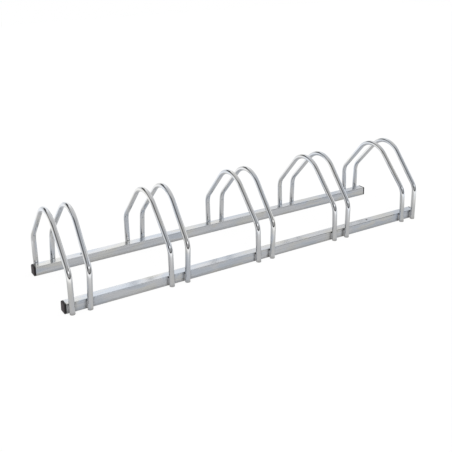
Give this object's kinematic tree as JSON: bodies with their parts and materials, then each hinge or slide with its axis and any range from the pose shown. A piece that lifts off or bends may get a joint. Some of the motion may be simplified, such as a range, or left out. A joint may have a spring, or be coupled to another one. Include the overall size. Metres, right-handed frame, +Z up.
{
  "type": "floor bike rack",
  "caption": "Floor bike rack: two square-tube rails with pairs of bent tube hoops that each hold a wheel upright.",
  "frame": {"origin": "on the floor, at the centre of the rack's footprint", "axes": "+X along the rails towards the right end, +Y towards the rear, +Z up; the floor is z = 0"},
  "size_m": [1.32, 0.33, 0.2599],
  "materials": {
    "zinc_rail": "bright zinc plating over cold-drawn square tube",
    "zinc_hoop": "bright zinc plating over drawn round tube",
    "zinc_weld": "zinc plating over weld metal",
    "cap_plastic": "black moulded polyethylene"
  },
  "bodies": {
    "root": {"front_rail": "zinc_rail", "rear_rail": "zinc_rail", "hoop_1_left": "zinc_hoop", "hoop_1_left_welds": "zinc_weld", "hoop_1_right": "zinc_hoop", "hoop_1_right_welds": "zinc_weld", "hoop_2_left": "zinc_hoop", "hoop_2_left_welds": "zinc_weld", "hoop_2_right": "zinc_hoop", "hoop_2_right_welds": "zinc_weld", "hoop_3_left": "zinc_hoop", "hoop_3_left_welds": "zinc_weld", "hoop_3_right": "zinc_hoop", "hoop_3_right_welds": "zinc_weld", "hoop_4_left": "zinc_hoop", "hoop_4_left_welds": "zinc_weld", "hoop_4_right": "zinc_hoop", "hoop_4_right_welds": "zinc_weld", "hoop_5_left": "zinc_hoop", "hoop_5_left_welds": "zinc_weld", "hoop_5_right": "zinc_hoop", "hoop_5_right_welds": "zinc_weld", "end_cap_front_left": "cap_plastic", "end_cap_front_right": "cap_plastic", "end_cap_rear_left": "cap_plastic", "end_cap_rear_right": "cap_plastic"}
  },
  "joints": []
}
